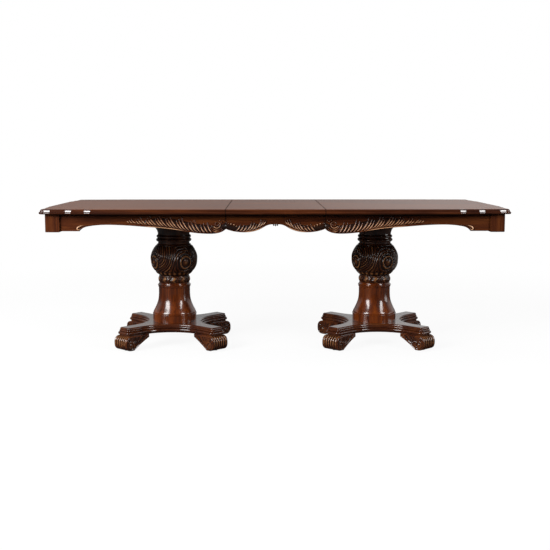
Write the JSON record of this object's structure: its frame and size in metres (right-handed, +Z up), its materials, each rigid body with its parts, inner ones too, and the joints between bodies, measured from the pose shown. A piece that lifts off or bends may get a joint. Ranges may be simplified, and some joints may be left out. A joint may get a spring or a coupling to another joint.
{
  "type": "double pedestal dining table",
  "caption": "Extending dining table with a moulded top, shaped and carved aprons, a removable leaf on geared slides, and turned pedestals on scroll feet.",
  "frame": {"origin": "on the floor below the middle of the table", "axes": "+X along the table's length, +Y towards its back, +Z up"},
  "size_m": [2.438, 1.118, 0.787],
  "materials": {
    "mahogany": "polished lacquer",
    "slide_wood": "plain sealed",
    "steel": "zinc plated",
    "nylon": "plain"
  },
  "bodies": {
    "left_half": {"left_back_apron": "mahogany", "left_back_feet": "mahogany", "left_ball": "mahogany", "left_capital": "mahogany", "left_collar": "mahogany", "left_corner_braces": "slide_wood", "left_corner_posts": "mahogany", "left_cross_bearer": "slide_wood", "left_end_apron": "mahogany", "left_frame_screws": "steel", "left_front_apron": "mahogany", "left_front_feet": "mahogany", "left_glides": "nylon", "left_latch_plates": "steel", "left_leaf_pins": "steel", "left_mounting_plate": "slide_wood", "left_pedestal_bearers": "slide_wood", "left_platform": "mahogany", "left_rack_strips": "nylon", "left_slide_rails": "slide_wood", "left_tie_rod": "steel", "left_top": "mahogany", "left_vase": "mahogany"},
    "right_half": {"right_back_apron": "mahogany", "right_back_feet": "mahogany", "right_ball": "mahogany", "right_capital": "mahogany", "right_collar": "mahogany", "right_corner_braces": "slide_wood", "right_corner_posts": "mahogany", "right_cross_bearer": "slide_wood", "right_end_apron": "mahogany", "right_frame_screws": "steel", "right_front_apron": "mahogany", "right_front_feet": "mahogany", "right_glides": "nylon", "right_latch_plates": "steel", "right_leaf_pins": "steel", "right_mounting_plate": "slide_wood", "right_pedestal_bearers": "slide_wood", "right_platform": "mahogany", "right_rack_strips": "nylon", "right_slide_rails": "slide_wood", "right_tie_rod": "steel", "right_top": "mahogany", "right_vase": "mahogany"},
    "leaf": {"leaf_back_apron": "mahogany", "leaf_catch_plates": "steel", "leaf_cleats": "slide_wood", "leaf_front_apron": "mahogany", "leaf_top": "mahogany"},
    "carriage": {"carriage_tie": "slide_wood", "centre_rails": "slide_wood", "pinion_axles": "steel"},
    "back_pinion": {"back_pinion": "nylon"},
    "front_pinion": {"front_pinion": "nylon"},
    "left_back_latch": {"left_back_latch_arm": "steel"},
    "left_front_latch": {"left_front_latch_arm": "steel"},
    "right_back_latch": {"right_back_latch_arm": "steel"},
    "right_front_latch": {"right_front_latch_arm": "steel"}
  },
  "joints": [
    {"name": "half_slide", "type": "slide", "parent": "left_half", "child": "right_half", "axis": [1, 0, 0], "range_m": [0, 0.12]},
    {"name": "carriage_slide", "type": "slide", "parent": "left_half", "child": "carriage", "axis": [1, 0, 0], "range_m": [0, 0.06]},
    {"name": "front_pinion_turn", "type": "hinge", "parent": "carriage", "child": "front_pinion", "pos_m": [0, -0.24002, 0.7385], "axis": [0, 0, 1], "range_deg": [-216, 0]},
    {"name": "back_pinion_turn", "type": "hinge", "parent": "carriage", "child": "back_pinion", "pos_m": [0, 0.24002, 0.7385], "axis": [0, 0, 1], "range_deg": [0, 216]},
    {"name": "leaf_lift", "type": "slide", "parent": "carriage", "child": "leaf", "axis": [0, 0, 1], "range_m": [0, 0.2]},
    {"name": "left_front_latch_turn", "type": "hinge", "parent": "left_half", "child": "left_front_latch", "pos_m": [-0.2952, -0.45, 0.7572], "axis": [0, 0, -1], "range_deg": [0, 90]},
    {"name": "left_back_latch_turn", "type": "hinge", "parent": "left_half", "child": "left_back_latch", "pos_m": [-0.2952, 0.45, 0.7572], "axis": [0, 0, 1], "range_deg": [0, 90]},
    {"name": "right_front_latch_turn", "type": "hinge", "parent": "right_half", "child": "right_front_latch", "pos_m": [0.2952, -0.45, 0.7572], "axis": [0, 0, 1], "range_deg": [0, 90]},
    {"name": "right_back_latch_turn", "type": "hinge", "parent": "right_half", "child": "right_back_latch", "pos_m": [0.2952, 0.45, 0.7572], "axis": [0, 0, -1], "range_deg": [0, 90]}
  ],
  "couplings": [
    {"joint": "carriage_slide", "follows": "half_slide", "ratio": 0.5},
    {"joint": "front_pinion_turn", "follows": "half_slide", "rad_per_m": -31.25},
    {"joint": "back_pinion_turn", "follows": "half_slide", "rad_per_m": 31.25}
  ]
}
